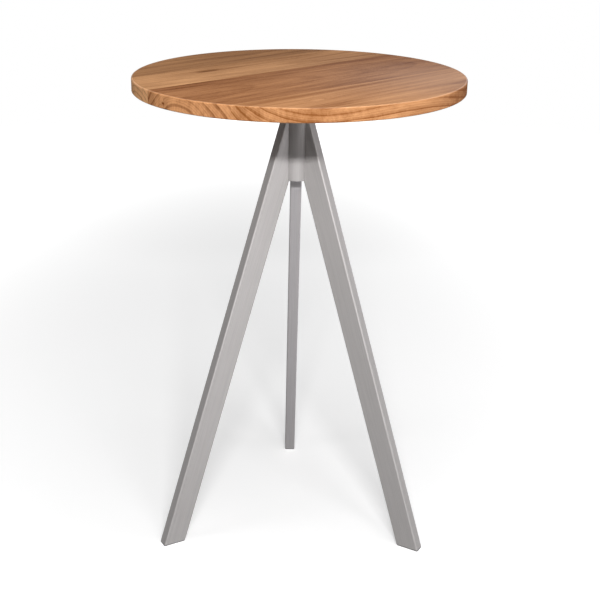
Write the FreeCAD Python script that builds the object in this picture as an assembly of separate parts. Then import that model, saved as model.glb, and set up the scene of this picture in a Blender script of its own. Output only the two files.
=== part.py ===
import FreeCAD, Part
import math
import os

from FreeCAD import Vector

# A round bar table: edge-glued boards on a welded three-legged base of steel tube.
# Lengths are in millimetres and angles in degrees. The floor is z = 0, the centre
# line of the table is the Z axis, and the rear leg points along +Y.

# Whole table
table_height = 1050.0
top_diameter = 700.0

# Wooden top: boards run side by side, square to the direction that the shares follow
top_thickness = 28.0
top_edge_radius = 3.0
top_edge_flats = 4
lower_edge_chamfer = 1.5
grain_angle = 42.0
board_joint_shares = (-0.45, 0.17, 0.55)

# Legs: rectangular tube, wide sides upright and square to the circle of the feet.
# The reaches run from the centre line to the outer edge of a leg, under the top
# and at the floor.
leg_depth = 50.0
leg_width = 25.0
leg_wall = 2.0
leg_corner_radius = 3.0
leg_top_reach = 14.0
leg_foot_reach = 341.0
leg_angles = {"rear": 90.0, "front_left": 210.0, "front_right": 330.0}

# Hub: round tube between the legs, closed below by a disc
hub_diameter = 60.3
hub_wall = 3.0
hub_length = 190.0
hub_disc_thickness = 4.0
hub_disc_edge_chamfer = 1.0
leg_fit_clearance = 0.2

# Mounting plate between the hub and the boards
plate_diameter = 280.0
plate_thickness = 6.0
plate_edge_chamfer = 1.0
plate_hole_edge_distance = 20.0
plate_hole_count = 6
plate_first_hole_angle = 30.0
plate_hole_clearance = 2.0

# Screws, washers and threaded inserts that hold the top
screw_diameter = 6.0
screw_length = 20.0
screw_head_width = 10.0
screw_head_height = 4.0
screw_head_sides = 6
washer_diameter = 12.0
washer_thickness = 1.6
washer_hole_clearance = 0.4
insert_diameter = 10.0
insert_length = 15.0
insert_thread_clearance = 0.2
insert_hole_clearance = 0.2
insert_hole_spare_depth = 2.0

# Foot plugs: a sole under the tube, and a hollow stem with fins inside it
sole_thickness = 2.0
sole_inset = 0.5
plug_clearance = 0.3
plug_fin_depth = 1.5
plug_fin_thickness = 1.2
plug_fin_count = 3
plug_wall = 2.0
plug_stem_length = 20.0

# Cutting bodies run past what they cut by this much
overrun = 5.0

# Places and sizes that follow from the ones above
top_radius = top_diameter / 2
top_underside = table_height - top_thickness
plate_underside = top_underside - plate_thickness
hub_bottom = plate_underside - hub_length
hub_tube_bottom = hub_bottom + hub_disc_thickness
leg_slope = (leg_foot_reach - leg_top_reach) / top_underside
leg_tilt = math.degrees(math.atan(leg_slope))
leg_run = math.hypot(leg_foot_reach - leg_top_reach, top_underside)
hole_circle_radius = plate_diameter / 2 - plate_hole_edge_distance
washer_underside = plate_underside - washer_thickness

up = Vector(0, 0, 1)
centre = Vector(0, 0, 0)


def cylinder(diameter, low, high, place=centre):
    """An upright cylinder between two heights, over a place in the floor plan."""
    return Part.makeCylinder(diameter / 2, high - low, place + up * low)


def ring(outer_diameter, inner_diameter, low, high, place=centre):
    """An upright tube between two heights."""
    bore = cylinder(inner_diameter, low - overrun, high + overrun, place)
    return cylinder(outer_diameter, low, high, place).cut(bore)


def circular_edges(solid, height):
    """The edges of a solid that are whole circles at one height."""
    return [
        edge
        for edge in solid.Edges
        if edge.Curve.TypeId == "Part::GeomCircle" and math.isclose(edge.Curve.Center.z, height)
    ]


def plate_hole_places():
    """The places of the screws in the floor plan."""
    step = 360.0 / plate_hole_count
    angles = [math.radians(plate_first_hole_angle + step * index) for index in range(plate_hole_count)]
    return [Vector(math.cos(angle), math.sin(angle), 0) * hole_circle_radius for angle in angles]


def top_disc(seam_angle):
    """The whole top as one disc, its upper edge rounded by a ring of narrow flats.

    The surfaces of the rim close at the seam angle.
    """
    bend = Vector(top_radius - top_edge_radius, 0, table_height - top_edge_radius)
    turns = [0.5 * math.pi * step / top_edge_flats for step in range(top_edge_flats + 1)]
    rounded_edge = [bend + Vector(math.cos(turn), 0, math.sin(turn)) * top_edge_radius for turn in turns]
    lower_edge = [
        Vector(top_radius - lower_edge_chamfer, 0, top_underside),
        Vector(top_radius, 0, top_underside + lower_edge_chamfer),
    ]
    points = [up * top_underside] + lower_edge + rounded_edge + [up * table_height, up * top_underside]
    disc = Part.Face(Part.makePolygon(points)).revolve(centre, up, 360)
    disc.rotate(centre, up, seam_angle)
    return disc


def insert_holes():
    """Blind holes for the threaded inserts, as one cutting shape."""
    hole_top = top_underside + insert_length + insert_hole_spare_depth
    hole_diameter = insert_diameter + insert_hole_clearance
    holes = [
        cylinder(hole_diameter, top_underside - overrun, hole_top, place)
        for place in plate_hole_places()
    ]
    return Part.makeCompound(holes)


def top_boards():
    """The boards of the top, from the front right to the rear left.

    Each is cut from a disc whose seam lies on the far side, so that its rim is in one piece.
    """
    half_span = top_radius + overrun
    joints = [-half_span] + [share * top_radius for share in board_joint_shares] + [half_span]
    holes = insert_holes()
    boards = []
    for low, high in zip(joints, joints[1:]):
        corner = Vector(-half_span, low, top_underside - overrun)
        strip = Part.makeBox(2 * half_span, high - low, top_thickness + 2 * overrun, corner)
        strip.rotate(centre, up, grain_angle)
        across = 90 if low + high > 0 else -90
        disc = top_disc(grain_angle - across)
        boards.append(disc.common(strip).cut(holes))
    return boards


def leg_bar(inset, chamfered=False):
    """A solid bar along a leg that points to +X, with every side moved in by the inset."""
    depth = leg_depth - 2 * inset
    width = leg_width - 2 * inset
    corner = Vector(inset - leg_depth, -width / 2, -overrun)
    bar = Part.makeBox(depth, width, leg_run + 2 * overrun, corner)
    radius = leg_corner_radius - inset
    long_edges = [edge for edge in bar.Edges if edge.Length > leg_run]
    if radius > 0 and chamfered:
        bar = bar.makeChamfer(radius, long_edges)
    elif radius > 0:
        bar = bar.makeFillet(radius, long_edges)
    bar.rotate(centre, Vector(0, 1, 0), -leg_tilt)
    bar.translate(Vector(leg_foot_reach, 0, 0))
    return bar


def between_heights(shape, low, high):
    """The part of a leg-shaped body that lies between two heights, on its own side of the hub."""
    corner = Vector(0, -leg_width, low)
    return shape.common(Part.makeBox(top_diameter, 2 * leg_width, high - low, corner))


def leg():
    """One leg tube: cut level over its foot plug and shaped to the round hub at its upper end."""
    tube = leg_bar(0).cut(leg_bar(leg_wall))
    tube = between_heights(tube, sole_thickness, plate_underside)
    hub_seat = cylinder(hub_diameter + 2 * leg_fit_clearance, hub_bottom, top_underside)
    return tube.cut(hub_seat)


def foot_plug():
    """One moulded plug: a level sole, and a hollow stem whose fins meet the tube inside."""
    stem_top = sole_thickness + plug_stem_length
    stem_inset = leg_wall + plug_clearance + plug_fin_depth
    plug = between_heights(leg_bar(sole_inset), 0, sole_thickness)
    plug = plug.fuse(between_heights(leg_bar(stem_inset), sole_thickness, stem_top))
    fin_bar = leg_bar(leg_wall + plug_clearance, chamfered=True)
    fin_step = (plug_stem_length - plug_fin_thickness) / plug_fin_count
    for index in range(plug_fin_count):
        fin_low = sole_thickness + fin_step * (index + 1)
        plug = plug.fuse(between_heights(fin_bar, fin_low, fin_low + plug_fin_thickness))
    hollow = between_heights(leg_bar(stem_inset + plug_wall), sole_thickness, stem_top + overrun)
    return plug.cut(hollow).removeSplitter()


def hub_tube():
    """The upright tube that the legs are welded to."""
    return ring(hub_diameter, hub_diameter - 2 * hub_wall, hub_tube_bottom, plate_underside)


def hub_end_disc():
    """The disc that closes the hub tube from below, with its lower edge ground off."""
    disc = cylinder(hub_diameter, hub_bottom, hub_tube_bottom)
    return disc.makeChamfer(hub_disc_edge_chamfer, circular_edges(disc, hub_bottom))


def mounting_plate():
    """The round plate on the hub, with a clearance hole for each screw."""
    plate = cylinder(plate_diameter, plate_underside, top_underside)
    plate = plate.makeChamfer(plate_edge_chamfer, circular_edges(plate, plate_underside))
    hole_diameter = screw_diameter + plate_hole_clearance
    holes = [
        cylinder(hole_diameter, plate_underside - overrun, top_underside + overrun, place)
        for place in plate_hole_places()
    ]
    return plate.cut(Part.makeCompound(holes))


def screw(place):
    """One hexagon-head screw, its head under the washer."""
    corner_radius = screw_head_width / 2 / math.cos(math.pi / screw_head_sides)
    corners = []
    for index in range(screw_head_sides + 1):
        angle = 2 * math.pi * index / screw_head_sides
        corners.append(Vector(math.cos(angle), math.sin(angle), 0) * corner_radius)
    head = Part.Face(Part.makePolygon(corners)).extrude(up * -screw_head_height)
    head.translate(up * washer_underside + place)
    return head.fuse(cylinder(screw_diameter, washer_underside, washer_underside + screw_length, place))


def washer(place):
    """One plain washer against the underside of the plate."""
    hole_diameter = screw_diameter + washer_hole_clearance
    return ring(washer_diameter, hole_diameter, washer_underside, plate_underside, place)


def threaded_insert(place):
    """One insert, level with the underside of the board that it is set in."""
    bore_diameter = screw_diameter + insert_thread_clearance
    return ring(insert_diameter, bore_diameter, top_underside, top_underside + insert_length, place)


def save(name, shape):
    """Write one sub-part to its own file."""
    shape.exportStep("parts/" + name + ".step")


os.makedirs("parts", exist_ok=True)

for number, board in enumerate(top_boards(), start=1):
    save("top_board_" + str(number), board)

for position, angle in leg_angles.items():
    turned_leg = leg()
    turned_leg.rotate(centre, up, angle)
    save("leg_" + position, turned_leg)
    turned_plug = foot_plug()
    turned_plug.rotate(centre, up, angle)
    save("foot_plug_" + position, turned_plug)

save("hub_tube", hub_tube())
save("hub_end_disc", hub_end_disc())
save("mounting_plate", mounting_plate())

places = plate_hole_places()
save("plate_screws", Part.makeCompound([screw(place) for place in places]))
save("plate_washers", Part.makeCompound([washer(place) for place in places]))
save("threaded_inserts", Part.makeCompound([threaded_insert(place) for place in places]))
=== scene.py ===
import math

import bmesh
import bpy
from mathutils import Euler, Matrix, Vector


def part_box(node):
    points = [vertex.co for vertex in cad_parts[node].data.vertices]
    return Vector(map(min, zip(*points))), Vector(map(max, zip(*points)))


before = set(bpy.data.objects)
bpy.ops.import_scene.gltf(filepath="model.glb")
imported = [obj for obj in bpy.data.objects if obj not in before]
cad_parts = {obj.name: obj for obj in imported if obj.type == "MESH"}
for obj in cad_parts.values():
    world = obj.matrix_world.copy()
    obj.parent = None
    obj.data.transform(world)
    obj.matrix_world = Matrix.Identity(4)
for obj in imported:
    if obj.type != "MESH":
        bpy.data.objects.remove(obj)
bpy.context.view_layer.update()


# The round top: four wide boards of solid teak, glued edge to edge and then cut round,
# with the arrises eased, sanded and oiled. The grain runs from the front left to the back
# right, so the rim shows ring ends at the front left and long grain at the front right.

def tone(red, green, blue):
    """A surface colour, given as it looks on a screen."""
    channels = []
    for value in (red, green, blue):
        share = value / 255
        channels.append(share / 12.92 if share <= 0.04045 else ((share + 0.055) / 1.055) ** 2.4)
    return (*channels, 1.0)


top_radius = 0.350
top_underside, top_face = (corner.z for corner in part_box("top_board_1"))
mid_height = (top_underside + top_face) / 2
grain_angle = math.radians(42.0)
along_grain = Vector((math.cos(grain_angle), math.sin(grain_angle), 0))
across_grain = Vector((-math.sin(grain_angle), math.cos(grain_angle), 0))

# Each pith lies so far across the boards and above their middle, and dips so many degrees
# along the grain. Contrast of the rings is given for the faces and for the rim, which cuts
# across the rings. Darkness is given for the faces and for the rim as well; the rim's differs
# from the faces' to paint in the light and shade that fall on the upright rim. A knot and the
# streaks each have a place along the grain, across it and above the middle, a size the same
# three ways, and a darkness. A board without a knot has it far outside the top, with no
# darkness.
no_knot =((0.9, 0.9, 0.9), (0.01, 0.01, 0.01), 0.0)
boards = {
    "top_board_1": {
        "pith": (-0.284, 0.109),
        "dip": -2.0,
        "ring_width": 0.0145,
        "contrast": (0.19, 0.55),
        "darkness": (0.31, 0.39),
        "light": tone(208, 153, 106),
        "dark": tone(130, 78, 38),
        "knot": ((-0.157, -0.227, 0.014), (0.030, 0.011, 0.030), -0.25),
        "streaks": (
            ((0.00, -0.174, 0.014), (0.36, 0.014, 0.05), 0.52),
            # This streak darkens the right end of the rim: painted shade, where less light falls on
            # the rim.
            ((0.170, -0.305, 0.0), (0.100, 0.060, 0.04), 0.44),
        ),
    },
    "top_board_2": {
        "pith": (-0.044, -0.110),
        "dip": -6.5,
        "ring_width": 0.0175,
        "contrast": (0.13, 0.58),
        "darkness": (0.62, 0.22),
        "light": tone(204, 147, 100),
        "dark": tone(112, 63, 30),
        "knot": ((-0.350, 0.002, -0.003), (0.012, 0.006, 0.004), 0.9),
        "streaks": (
            ((-0.20, 0.035, 0.014), (0.25, 0.030, 0.05), 0.13),
            ((0.18, -0.030, 0.014), (0.20, 0.050, 0.05), 0.10),
        ),
    },
    "top_board_3": {
        "pith": (0.119, -0.070),
        "dip": 2.5,
        "ring_width": 0.0118,
        "contrast": (0.16, 0.55),
        "darkness": (0.53, 0.20),
        "light": tone(220, 166, 118),
        "dark": tone(123, 79, 44),
        "knot": ((-0.120, 0.153, 0.014), (0.034, 0.010, 0.050), 0.7),
        "streaks": (
            ((-0.28, 0.10, 0.014), (0.12, 0.08, 0.05), -0.15),
            ((-0.35, 0.12, -0.005), (0.03, 0.08, 0.05), -0.12),
        ),
    },
    "top_board_4": {
        "pith": (0.262, 0.085),
        "dip": 2.0,
        "ring_width": 0.012,
        "contrast": (0.18, 0.40),
        "darkness": (0.42, 0.32),
        "light": tone(184, 135, 92),
        "dark": tone(100, 62, 36),
        "knot": no_knot,
        "streaks": (
            ((-0.14, 0.29, 0.014), (0.09, 0.05, 0.05), -0.30),
            ((0.14, 0.225, 0.014), (0.14, 0.030, 0.05), 0.18),
        ),
    },
}

# A painted sheen lies over the right side of the top: a pale veil that stands in for light
# reflected off the oiled face. Its share is given for the faces and for the rim.
painted_sheen_place = Vector((0.34, -0.03, mid_height))
painted_sheen_size = (0.25, 0.25, 0.25)
painted_sheen_share = (0.13, 0.02)
painted_sheen_color = tone(233, 227, 226)

# The eased edges, as distances in from the rim: where their gloss and their painted highlight
# begin and are full towards the face, and where they are still full and end towards the rim.
arris_towards_face = (0.0038, 0.0024)
arris_towards_rim = (0.0012, 0.0002)
face_ends = 0.0025
rim_begins = 0.0005
# How much the eased edges are lightened: a painted highlight, the glint of light along the arris.
arris_painted_highlight = 0.35
arris_gloss_roughness = 0.38
oiled_teak_specular = 0.08
teak_relief = 0.00012


def fill(tree, socket, value):
    """Link an input to what changes over the surface, or set it to a fixed value."""
    if isinstance(value, bpy.types.NodeSocket):
        tree.links.new(value, socket)
    else:
        socket.default_value = value


def add_node(tree, kind, inputs=None, **settings):
    """A shader node with its settings made, and each input linked or set."""
    node = tree.nodes.new("ShaderNode" + kind)
    for name, value in settings.items():
        setattr(node, name, value)
    for name, value in (inputs or {}).items():
        fill(tree, node.inputs[name], value)
    return node


def arithmetic(tree, operation, first, second=0.0, clamp=False):
    """The result of one sum on values that change over the surface."""
    inputs = {0: first, 1: second}
    return add_node(tree, "Math", inputs, operation=operation, use_clamp=clamp).outputs[0]


def add_share(tree, total, value, share):
    """A total with a share of another value added to it."""
    return arithmetic(tree, "ADD", total, arithmetic(tree, "MULTIPLY", value, share))


def vector_arithmetic(tree, operation, first, second=(0.0, 0.0, 0.0), third=(0.0, 0.0, 0.0)):
    """The result of one sum on vectors that change over the surface."""
    inputs = {0: first, 1: second, 2: third}
    return add_node(tree, "VectorMath", inputs, operation=operation).outputs["Vector"]


def vector_measure(tree, operation, first, second=(0.0, 0.0, 0.0)):
    """The number that a sum on vectors gives, such as a length."""
    inputs = {0: first, 1: second}
    return add_node(tree, "VectorMath", inputs, operation=operation).outputs["Value"]


def noise(tree, position, waves, detail=2.0, roughness=0.5, output="Fac"):
    """Noise with so many waves to the metre along each axis."""
    stretched = vector_arithmetic(tree, "MULTIPLY", position, waves)
    inputs = {"Vector": stretched, "Scale": 1.0, "Detail": detail, "Roughness": roughness}
    return add_node(tree, "TexNoise", inputs).outputs[output]


def remap(tree, value, low, high, new_low=0.0, new_high=1.0, smooth=False):
    """A value taken from one range to another and held inside it."""
    ends = {"From Min": low, "From Max": high, "To Min": new_low, "To Max": new_high}
    kind = "SMOOTHSTEP" if smooth else "LINEAR"
    node = add_node(tree, "MapRange", {"Value": value, **ends}, interpolation_type=kind)
    return node.outputs["Result"]


def blend_colors(tree, share, first, second):
    """A mixture of two colours, through the colour sockets of a node for all types."""
    share_input, first_input, second_input, color_output = 0, 6, 7, 2
    inputs = {share_input: share, first_input: first, second_input: second}
    return add_node(tree, "Mix", inputs, data_type="RGBA").outputs[color_output]


def new_group(name, inputs, outputs):
    """An empty node group with named sockets, and the sockets to read from and to feed."""
    group = bpy.data.node_groups.new(name, "ShaderNodeTree")
    for in_out, sockets in (("INPUT", inputs), ("OUTPUT", outputs)):
        for socket_name, kind in sockets.items():
            kind = "NodeSocket" + kind
            group.interface.new_socket(socket_name, in_out=in_out, socket_type=kind)
    given = group.nodes.new("NodeGroupInput").outputs
    return group, given, group.nodes.new("NodeGroupOutput").inputs


def ring_lines(tree, rings):
    """Late wood that darkens and ends sharply at each ring, more in some years than others."""
    late_begins, late_ends, late_sharpness, faintest_year = 0.30, 0.92, 2.2, 0.35
    age = arithmetic(tree, "FRACT", rings)
    year = arithmetic(tree, "FLOOR", rings)
    luck = add_node(tree, "TexWhiteNoise", {"W": year}, noise_dimensions="1D").outputs["Value"]
    darkening = remap(tree, age, late_begins, late_ends, smooth=True)
    late_wood = arithmetic(tree, "POWER", darkening, late_sharpness)
    early_wood = remap(tree, age, late_ends, 1.0, 1.0, 0.0, smooth=True)
    line = arithmetic(tree, "MULTIPLY", late_wood, early_wood)
    return arithmetic(tree, "MULTIPLY", line, remap(tree, luck, 0.0, 1.0, faintest_year, 1.0))


def blob(tree, position, place, size):
    """One at a place, falling to nothing outside an ellipsoid round it."""
    offset = vector_arithmetic(tree, "SUBTRACT", position, place)
    distance = vector_measure(tree, "LENGTH", vector_arithmetic(tree, "DIVIDE", offset, size))
    fall = arithmetic(tree, "MULTIPLY", arithmetic(tree, "MULTIPLY", distance, distance), -1.0)
    return arithmetic(tree, "EXPONENT", fall)


# Patterns in the wood: waves to the metre along, across and through a board, and the share
# that each adds to the darkness. The bends move the rings sideways by so many metres.
mark_names = ("Knot", "First Streak", "Second Streak")
bends = (((1.3, 8.0, 8.0), 0.022), ((11.0, 60.0, 60.0), 0.0035))
patch_waves, patch_share = (2.6, 12.0, 12.0), 0.80
streak_waves, streak_share = (1.6, 48.0, 16.0), 0.85
fine_streak_waves, fine_streak_share = (4.0, 240.0, 80.0), 0.60
fibre_waves, fibre_share = (22.0, 850.0, 850.0), 0.35
pore_waves, pore_share = (55.0, 1500.0, 1500.0), 0.14
pore_begins, pore_full = 0.60, 0.72
fine_rings_in_ring, fine_ring_share = 3.7, 0.5
rings_round_knot, knot_sharpness = 1.4, 2.5
wood_roughness, fibre_roughness, pore_roughness = 0.58, 0.16, 0.18
fibre_height = 0.35
noise_middle = 0.5


def solid_teak_group():
    """Growth rings round the pith, which is the X axis of the position, with a knot, two
    streaks that darken or lighten the wood, fibres, pores and a painted sheen of reflected light."""
    inputs = {"Position": "Vector", "Light Wood": "Color", "Dark Wood": "Color"}
    inputs.update({"Painted Sheen Place": "Vector", "Painted Sheen": "Float", "Darkness": "Float"})
    inputs.update({"Ring Width": "Float", "Ring Contrast": "Float"})
    for mark in mark_names:
        inputs.update({mark + " Place": "Vector", mark + " Size": "Vector"})
        inputs[mark + " Darkness"] = "Float"
    outputs = {"Color": "Color", "Roughness": "Float", "Height": "Float"}
    group, given, result = new_group("solid_teak", inputs, outputs)
    position = given["Position"]

    bent = position
    for waves, reach in bends:
        swirl = noise(group, position, waves, detail=1.0, output="Color")
        swirl = vector_arithmetic(group, "SUBTRACT", swirl, (noise_middle,) * 3)
        shift = vector_arithmetic(group, "MULTIPLY", swirl, (0.0, reach, reach))
        bent = vector_arithmetic(group, "ADD", bent, shift)

    knot, *streaks_of_tone = (
        blob(group, position, given[mark + " Place"], given[mark + " Size"]) for mark in mark_names
    )
    across = vector_arithmetic(group, "MULTIPLY", bent, (0.0, 1.0, 1.0))
    from_pith = vector_measure(group, "LENGTH", across)
    rings = arithmetic(group, "DIVIDE", from_pith, given["Ring Width"])
    rings = add_share(group, rings, knot, rings_round_knot)
    fine_lines = ring_lines(group, arithmetic(group, "MULTIPLY", rings, fine_rings_in_ring))
    lines = add_share(group, ring_lines(group, rings), fine_lines, fine_ring_share)

    darkness = arithmetic(group, "MULTIPLY", lines, given["Ring Contrast"])
    patches = noise(group, position, patch_waves)
    streaks = noise(group, bent, streak_waves, detail=3.0, roughness=0.6)
    fine_streaks = noise(group, bent, fine_streak_waves, roughness=0.6)
    fibres = noise(group, bent, fibre_waves, roughness=0.6)
    pores = noise(group, bent, pore_waves, detail=1.0)
    pores = remap(group, pores, pore_begins, pore_full)
    swings = (
        (patches, patch_share),
        (streaks, streak_share),
        (fine_streaks, fine_streak_share),
        (fibres, fibre_share),
    )
    for pattern, share in swings:
        swing = arithmetic(group, "SUBTRACT", pattern, noise_middle)
        darkness = add_share(group, darkness, swing, share)
    darkness = add_share(group, darkness, pores, pore_share)
    knot_core = arithmetic(group, "POWER", knot, knot_sharpness)
    for mark, spot in zip(mark_names, (knot_core, *streaks_of_tone)):
        darkness = add_share(group, darkness, spot, given[mark + " Darkness"])
    darkness = arithmetic(group, "ADD", darkness, given["Darkness"], clamp=True)
    color = blend_colors(group, darkness, given["Light Wood"], given["Dark Wood"])
    # Painted sheen: a pale veil blended over the wood's colour where light is reflected off the
    # top.
    sheen_cover = blob(group, position, given["Painted Sheen Place"], painted_sheen_size)
    sheen_cover = arithmetic(group, "MULTIPLY", sheen_cover, given["Painted Sheen"])
    color = blend_colors(group, sheen_cover, color, painted_sheen_color)

    rough = add_share(group, wood_roughness, fibres, fibre_roughness)
    rough = add_share(group, rough, pores, pore_roughness)
    relief = arithmetic(group, "MULTIPLY", fibres, fibre_height)
    relief = arithmetic(group, "SUBTRACT", relief, pores)
    group.links.new(color, result["Color"])
    group.links.new(rough, result["Roughness"])
    group.links.new(relief, result["Height"])
    return group


def new_material(name):
    """A material with nodes, its node tree and its surface shader."""
    material = bpy.data.materials.new(name)
    material.use_nodes = True
    return material, material.node_tree, material.node_tree.nodes["Principled BSDF"]


def turned_position(tree, turn=Matrix.Identity(4)):
    """Places on the object as seen in other axes."""
    coordinates = add_node(tree, "TexCoord").outputs["Object"]
    inputs = {"Vector": coordinates, "Location": turn.to_translation(), "Rotation": turn.to_euler()}
    return add_node(tree, "Mapping", inputs, vector_type="POINT").outputs["Vector"]


def finish_surface(tree, shader, color, roughness, height, relief_height):
    """The colour, roughness and relief of a surface, given to its shader."""
    bump = add_node(tree, "Bump", {"Height": height, "Distance": relief_height})
    fill(tree, shader.inputs["Base Color"], color)
    fill(tree, shader.inputs["Roughness"], roughness)
    fill(tree, shader.inputs["Normal"], bump.outputs["Normal"])


def dress(node_name, material):
    """Give a piece of the frame its finish."""
    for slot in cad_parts[node_name].material_slots:
        slot.link = "OBJECT"
        slot.material = material


def distance_from_centre(tree):
    """How far a place lies from the upright line through the middle of the top."""
    in_plan = vector_arithmetic(tree, "MULTIPLY", turned_position(tree), (1.0, 1.0, 0.0))
    return vector_measure(tree, "LENGTH", in_plan)


def face_to_rim(tree, from_centre, on_faces, on_rim):
    """A value that is one on the faces of the top and another on its rim."""
    face_radius, rim_radius = top_radius - face_ends, top_radius - rim_begins
    return remap(tree, from_centre, face_radius, rim_radius, on_faces, on_rim)


def on_arris(tree, from_centre):
    """One on the eased edges between faces and rim, where the oil is rubbed to a gloss and a
    highlight is painted in.
    """
    begins, full = (top_radius - inset for inset in arris_towards_face)
    rising = remap(tree, from_centre, begins, full, smooth=True)
    still_full, ends = (top_radius - inset for inset in arris_towards_rim)
    falling = remap(tree, from_centre, still_full, ends, 1.0, 0.0)
    return arithmetic(tree, "MULTIPLY", rising, falling)


def in_boards(along, across, above):
    """The point so far along the grain, across it and above the middle of the boards."""
    return along_grain * along + across_grain * across + Vector((0, 0, mid_height + above))


teak_group = solid_teak_group()
for board_name, board in boards.items():
    dip = Euler((0, math.radians(board["dip"]), 0)).to_matrix().to_4x4()
    turn = dip @ Matrix.Rotation(-grain_angle, 4, "Z")
    turn = turn @ Matrix.Translation(-in_boards(0, *board["pith"]))
    material, tree, shader = new_material("teak_" + board_name)
    from_centre = distance_from_centre(tree)
    arris = on_arris(tree, from_centre)
    # The rim's darkness, set apart from the faces', is painted light and shade on the upright rim.
    darkness = face_to_rim(tree, from_centre, *board["darkness"])
    # Painted highlight: the eased edges are made paler than the wood.
    painted_glint = arithmetic(tree, "MULTIPLY", arris, arris_painted_highlight)
    settings = {
        "Position": turned_position(tree, turn),
        "Light Wood": board["light"],
        "Dark Wood": board["dark"],
        "Painted Sheen Place": turn @ painted_sheen_place,
        "Painted Sheen": face_to_rim(tree, from_centre, *painted_sheen_share),
        "Darkness": arithmetic(tree, "SUBTRACT", darkness, painted_glint),
        "Ring Width": board["ring_width"],
        "Ring Contrast": face_to_rim(tree, from_centre, *board["contrast"]),
    }
    for mark, (place, size, strength) in zip(mark_names, (board["knot"], *board["streaks"])):
        settings.update({mark + " Place": turn @ in_boards(*place), mark + " Size": size})
        settings[mark + " Darkness"] = strength
    teak = add_node(tree, "Group", settings, node_tree=teak_group).outputs
    finish_surface(tree, shader, teak["Color"], teak["Roughness"], teak["Height"], teak_relief)
    shader.inputs["Specular IOR Level"].default_value = oiled_teak_specular
    shader.inputs["Coat Roughness"].default_value = arris_gloss_roughness
    fill(tree, shader.inputs["Coat Weight"], arris)
    dress(board_name, material)


# The three legs: rectangular tube of stainless steel, brushed along its length, cut level
# at the floor, shaped to the round hub at the upper end, welded there and ground smooth.

steel_light = tone(211, 208, 207)
steel_dark = tone(195, 192, 191)
steel_roughness = 0.68
scratch_depth = 0.00002
leg_angles = {"leg_rear": 90.0, "leg_front_left": 210.0, "leg_front_right": 330.0}
leg_tones = {
    # The rear leg has lighter tones than the front legs: painted light on the same steel.
    "leg_rear": (tone(223, 220, 221), tone(207, 204, 205)),
    "leg_front_left": (steel_light, steel_dark),
    "leg_front_right": (steel_light, steel_dark),
}
leg_reach_at_plate = 0.014
leg_reach_at_floor = 0.341
plate_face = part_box("mounting_plate")[1].z

# Patterns in the metal: waves to the metre along the brushing and both ways across it, and
# the share of each in the shade.
scratch_waves, scratch_share = (9.0, 1500.0, 1500.0), 0.65
band_waves, band_share = (2.0, 160.0, 160.0), 0.12
cloud_waves, cloud_share = (5.0, 14.0, 14.0), 0.30
lightest_shade, darkest_shade = 0.32, 0.78
shade_roughness = 0.14


def brushed_metal_group():
    """Fine scratches along X, with soft clouds where the belt pressed more or less."""
    inputs = {"Position": "Vector", "Roughness": "Float"}
    inputs.update({"Light Metal": "Color", "Dark Metal": "Color"})
    outputs = {"Color": "Color", "Roughness": "Float", "Height": "Float"}
    group, given, result = new_group("brushed_metal", inputs, outputs)
    position = given["Position"]
    scratches = noise(group, position, scratch_waves, detail=3.0, roughness=0.65)
    shade = arithmetic(group, "MULTIPLY", scratches, scratch_share)
    shade = add_share(group, shade, noise(group, position, band_waves), band_share)
    shade = add_share(group, shade, noise(group, position, cloud_waves), cloud_share)
    shade = remap(group, shade, lightest_shade, darkest_shade)
    color = blend_colors(group, shade, given["Light Metal"], given["Dark Metal"])
    rough = add_share(group, given["Roughness"], shade, shade_roughness)
    group.links.new(color, result["Color"])
    group.links.new(rough, result["Roughness"])
    group.links.new(scratches, result["Height"])
    return group


metal_group = brushed_metal_group()


def brushed_metal(name, turn, light, dark, roughness):
    """Metal brushed along the axis that the turn takes to X."""
    material, tree, shader = new_material(name)
    settings = {"Position": turned_position(tree, turn), "Roughness": roughness}
    settings.update({"Light Metal": light, "Dark Metal": dark})
    metal = add_node(tree, "Group", settings, node_tree=metal_group).outputs
    finish_surface(tree, shader, metal["Color"], metal["Roughness"], metal["Height"], scratch_depth)
    shader.inputs["Metallic"].default_value = 1.0
    return material


for leg_name, leg_angle in leg_angles.items():
    angle = math.radians(leg_angle)
    outward = Vector((math.cos(angle), math.sin(angle), 0))
    rise = outward * (leg_reach_at_plate - leg_reach_at_floor) + Vector((0, 0, plate_face))
    turn = rise.rotation_difference(Vector((1, 0, 0))).to_matrix().to_4x4()
    leg_steel = brushed_metal(leg_name + "_steel", turn, *leg_tones[leg_name], steel_roughness)
    dress(leg_name, leg_steel)


# The hub: a round stainless tube that the legs are welded round, closed below by a disc.
# Both are brushed up and down. The plate that carries the top is brushed across.

# The hub and its disc have tones a little darker than the legs': painted shade on the same steel.
hub_light = tone(206, 203, 202)
hub_dark = tone(190, 187, 186)
plate_roughness = 0.42
upright = Matrix.Rotation(math.radians(90.0), 4, "Y")
level = Matrix.Identity(4)
hub_steel = brushed_metal("hub_steel", upright, hub_light, hub_dark, steel_roughness)
dress("hub_tube", hub_steel)
dress("hub_end_disc", hub_steel)
plate_steel = brushed_metal("plate_steel", level, steel_light, steel_dark, plate_roughness)
dress("mounting_plate", plate_steel)


# Six hexagon-head screws with washers hold the plate against the top. They turn into
# brass inserts that are set in the boards and can't be seen once the table is together.

fastener_light = tone(196, 196, 194)
fastener_dark = tone(150, 150, 150)
fastener_roughness = 0.36
brass_light = tone(222, 190, 120)
brass_dark = tone(176, 140, 76)
brass_roughness = 0.35
fastener_steel = brushed_metal(
    "fastener_steel", level, fastener_light, fastener_dark, fastener_roughness
)
dress("plate_screws", fastener_steel)
dress("plate_washers", fastener_steel)
insert_brass = brushed_metal("insert_brass", upright, brass_light, brass_dark, brass_roughness)
dress("threaded_inserts", insert_brass)


# The foot plugs: black polyethylene, moulded, with a fine matt texture on the sole and
# scuffs where it stands on the floor. Each is pushed into the open end of its leg.

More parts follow.
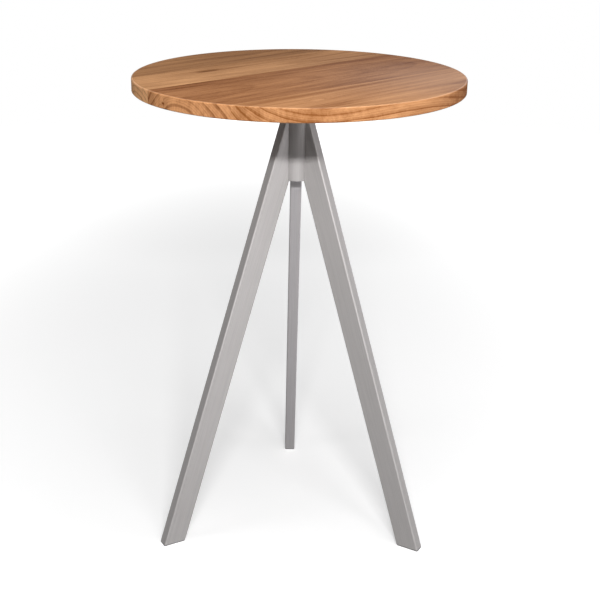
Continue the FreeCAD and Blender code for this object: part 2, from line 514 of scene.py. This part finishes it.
plug_black = tone(34, 33, 33)
plug_scuffed = tone(66, 65, 64)
plug_texture_waves = (2600.0, 2600.0, 2600.0)
plug_texture_range = (0.2, 0.8)
plug_roughness = (0.48, 0.68)
plug_texture_depth = 0.00006
scuff_waves = (180.0, 60.0, 180.0)
scuff_begins, scuff_full = 0.52, 0.74

plug_plastic, tree, shader = new_material("foot_plastic")
position = turned_position(tree)
texture = noise(tree, position, plug_texture_waves)
scuffs = noise(tree, position, scuff_waves, detail=4.0, roughness=0.7)
scuffs = remap(tree, scuffs, scuff_begins, scuff_full)
plug_color = blend_colors(tree, scuffs, plug_black, plug_scuffed)
plug_matt = remap(tree, texture, *plug_texture_range, *plug_roughness)
finish_surface(tree, shader, plug_color, plug_matt, texture, plug_texture_depth)
for leg_name in leg_angles:
    dress(leg_name.replace("leg_", "foot_plug_"), plug_plastic)


# The floor: a plain pale sheet that keeps the table's shadow. It lights the table as a grey
# floor would. Seen by the camera it is white, and its shadows fade with the distance from
# a place in front of the table and a little to the left.

floor_radius = 4.5
floor_roughness = 0.9
floor_color = (0.3, 0.3, 0.3, 1.0)
floor_seen_color = (1.0, 1.0, 1.0, 1.0)

# The glow's share at that place, the glow's strength, and the square of the distance,
# stretched sideways, at which the glow is all that is seen.
floor_whiteness = 0.20
floor_glow = 1.36
fade_stretch = (2.90, 1.0, 1.0)
fade_shift = (0.48, 1.28, 0.0)
fade_area = 30.8

floor_material, tree, shader = new_material("pale_floor")
seen = add_node(tree, "LightPath").outputs["Is Camera Ray"]
shader.inputs["Roughness"].default_value = floor_roughness
shader.inputs["Specular IOR Level"].default_value = 0.0
fill(tree, shader.inputs["Base Color"], blend_colors(tree, seen, floor_color, floor_seen_color))
place = vector_arithmetic(tree, "MULTIPLY_ADD", turned_position(tree), fade_stretch, fade_shift)
distance_squared = vector_measure(tree, "DOT_PRODUCT", place, place)
whiteness = remap(tree, distance_squared, 0.0, fade_area, floor_whiteness, 1.0)
glow = add_node(tree, "Emission", {"Color": (1.0, 1.0, 1.0, 1.0), "Strength": floor_glow})
share = arithmetic(tree, "MULTIPLY", seen, whiteness)
surfaces = {0: share, 1: shader.outputs["BSDF"], 2: glow.outputs["Emission"]}
mixed = add_node(tree, "MixShader", surfaces).outputs["Shader"]
fill(tree, tree.nodes["Material Output"].inputs["Surface"], mixed)

floor_mesh = bpy.data.meshes.new("floor")
sheet = bmesh.new()
bmesh.ops.create_circle(sheet, cap_ends=True, segments=96, radius=floor_radius)
sheet.to_mesh(floor_mesh)
sheet.free()
floor_mesh.materials.append(floor_material)
floor = bpy.data.objects.new("floor", floor_mesh)
bpy.context.scene.collection.objects.link(floor)


# The light: white all round where it is seen, and dim as a source, with soft glows at the
# horizon. A strip lamp in front throws the edge of the top on the legs, one softbox stands
# high at the front right, a small one at the left, and a wide one hangs overhead.

ambient = (0.05, 0.05, 0.05)
white = (1.0, 1.0, 1.0, 1.0)
table_middle = (0.0, 0.0, 0.87)

# The middle of each glow, its colour, and how closely it gathers there.
glows = (
    ((0.966, -0.259, 0.017), (4.7, 4.7, 4.8), 20.0),
    ((-0.882, 0.469, 0.035), (0.15, 0.15, 0.15), 4.0),
    ((0.289, 0.945, 0.156), (0.16, 0.30, 0.50), 40.0),
    ((0.0, 0.995, 0.1), (0.20, 0.20, 0.20), 2.0),
)

world = bpy.data.worlds.new("studio")
world.use_nodes = True
tree = world.node_tree
tree.nodes.clear()
direction = add_node(tree, "TexCoord").outputs["Generated"]
light_color = ambient
for toward, glow_color, sharpness in glows:
    nearness = vector_measure(tree, "DOT_PRODUCT", direction, toward)
    nearness = arithmetic(tree, "MAXIMUM", nearness)
    strength = arithmetic(tree, "POWER", nearness, sharpness)
    light_color = vector_arithmetic(tree, "MULTIPLY_ADD", glow_color, strength, light_color)
light = add_node(tree, "Background", {"Color": light_color, "Strength": 1.0})
backdrop = add_node(tree, "Background", {"Color": white, "Strength": 1.0})
rays = add_node(tree, "LightPath").outputs
seen = arithmetic(tree, "MAXIMUM", rays["Is Camera Ray"], rays["Is Transmission Ray"])
backgrounds = {0: seen, 1: light.outputs["Background"], 2: backdrop.outputs["Background"]}
mixed = add_node(tree, "MixShader", backgrounds).outputs["Shader"]
add_node(tree, "OutputWorld", {"Surface": mixed})
bpy.context.scene.world = world


def soft_lamp(name, place, target, size, power):
    """A rectangular lamp, so wide and high, that faces a point."""
    lamp = bpy.data.lights.new(name, "AREA")
    lamp.shape = "RECTANGLE"
    lamp.size, lamp.size_y = size
    lamp.energy = power
    holder = bpy.data.objects.new(name, lamp)
    holder.location = place
    holder.rotation_euler = (Vector(target) - Vector(place)).to_track_quat("-Z", "Y").to_euler()
    bpy.context.scene.collection.objects.link(holder)


soft_lamp("front_lamp", (0.12, -3.38, 2.455), table_middle, size=(1.2, 0.16), power=150.0)
soft_lamp("front_right_softbox", (1.188, -2.057, 2.533), table_middle, size=(0.8, 0.8), power=16.0)
soft_lamp("left_softbox", (-1.28, -0.65, 1.6), (-0.1, 0, 0.9), size=(0.5, 0.5), power=2.8)
soft_lamp("overhead_softbox", (0.25, -0.45, 3.6), table_middle, size=(1.8, 1.8), power=27.0)


# The camera stands a little left of the table, above its top, and looks down at it.

camera_place = (-0.0331, -2.3572, 1.45857)
camera_tilt = math.radians(68.72)
camera_turn = math.radians(2.17)
camera = bpy.data.cameras.new("camera")
camera.sensor_width = 36.0
camera.lens = 66.93
camera.shift_x = 0.1
viewer = bpy.data.objects.new("camera", camera)
viewer.location = camera_place
viewer.rotation_euler = (camera_tilt, 0, camera_turn)
bpy.context.scene.collection.objects.link(viewer)
bpy.context.scene.camera = viewer
bpy.context.scene.view_settings.view_transform = "Standard"
